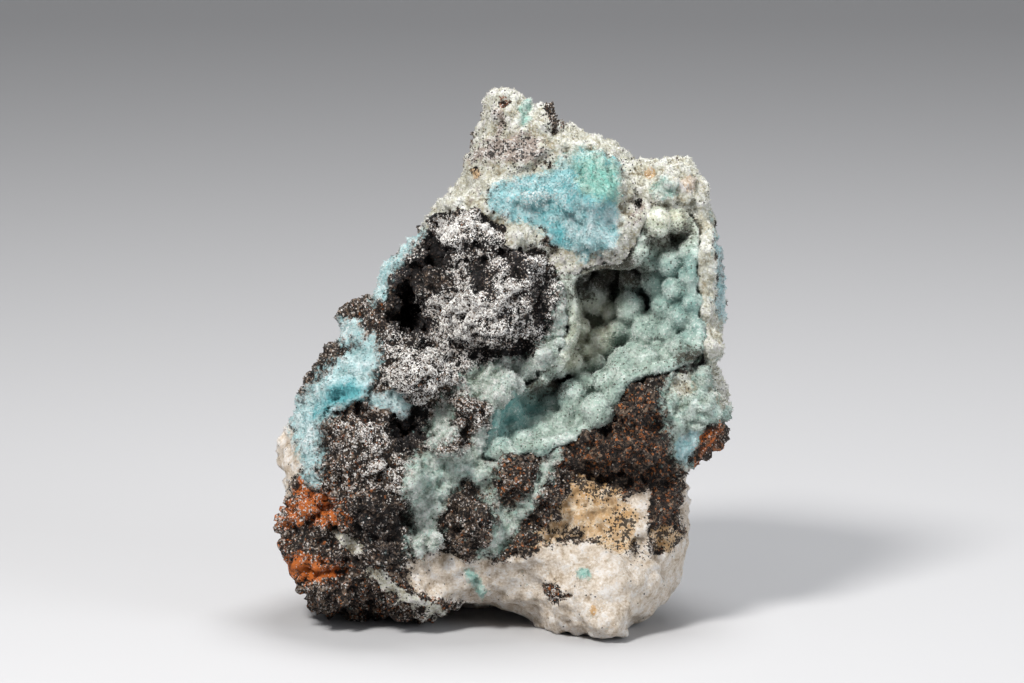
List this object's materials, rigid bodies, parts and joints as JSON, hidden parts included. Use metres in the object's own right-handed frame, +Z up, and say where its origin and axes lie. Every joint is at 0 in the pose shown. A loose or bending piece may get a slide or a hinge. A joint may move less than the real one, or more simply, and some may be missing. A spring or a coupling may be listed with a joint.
{
  "type": "hemimorphite mineral specimen",
  "caption": "Rough blocky rock specimen with a hollow lined by a crust of round drusy crystal lumps, standing on its flat foot.",
  "frame": {"origin": "centre of the bounding box at its base, on the plane that the foot rests on", "axes": "+Z up, along the height; +X to the right and -Y towards the viewer of the face with the hollow"},
  "size_m": [0.0615, 0.0486, 0.0724],
  "materials": {
    "rock": "rough broken gossan and pale carbonate with dull drusy crystal skins, from dark brown to cream and blue-green",
    "crust": "glistening drusy hemimorphite, mint to blue-green, with a waxy to glassy lustre"
  },
  "bodies": {
    "root": {"matrix": "rock", "vug_crust": "crust"}
  },
  "joints": []
}
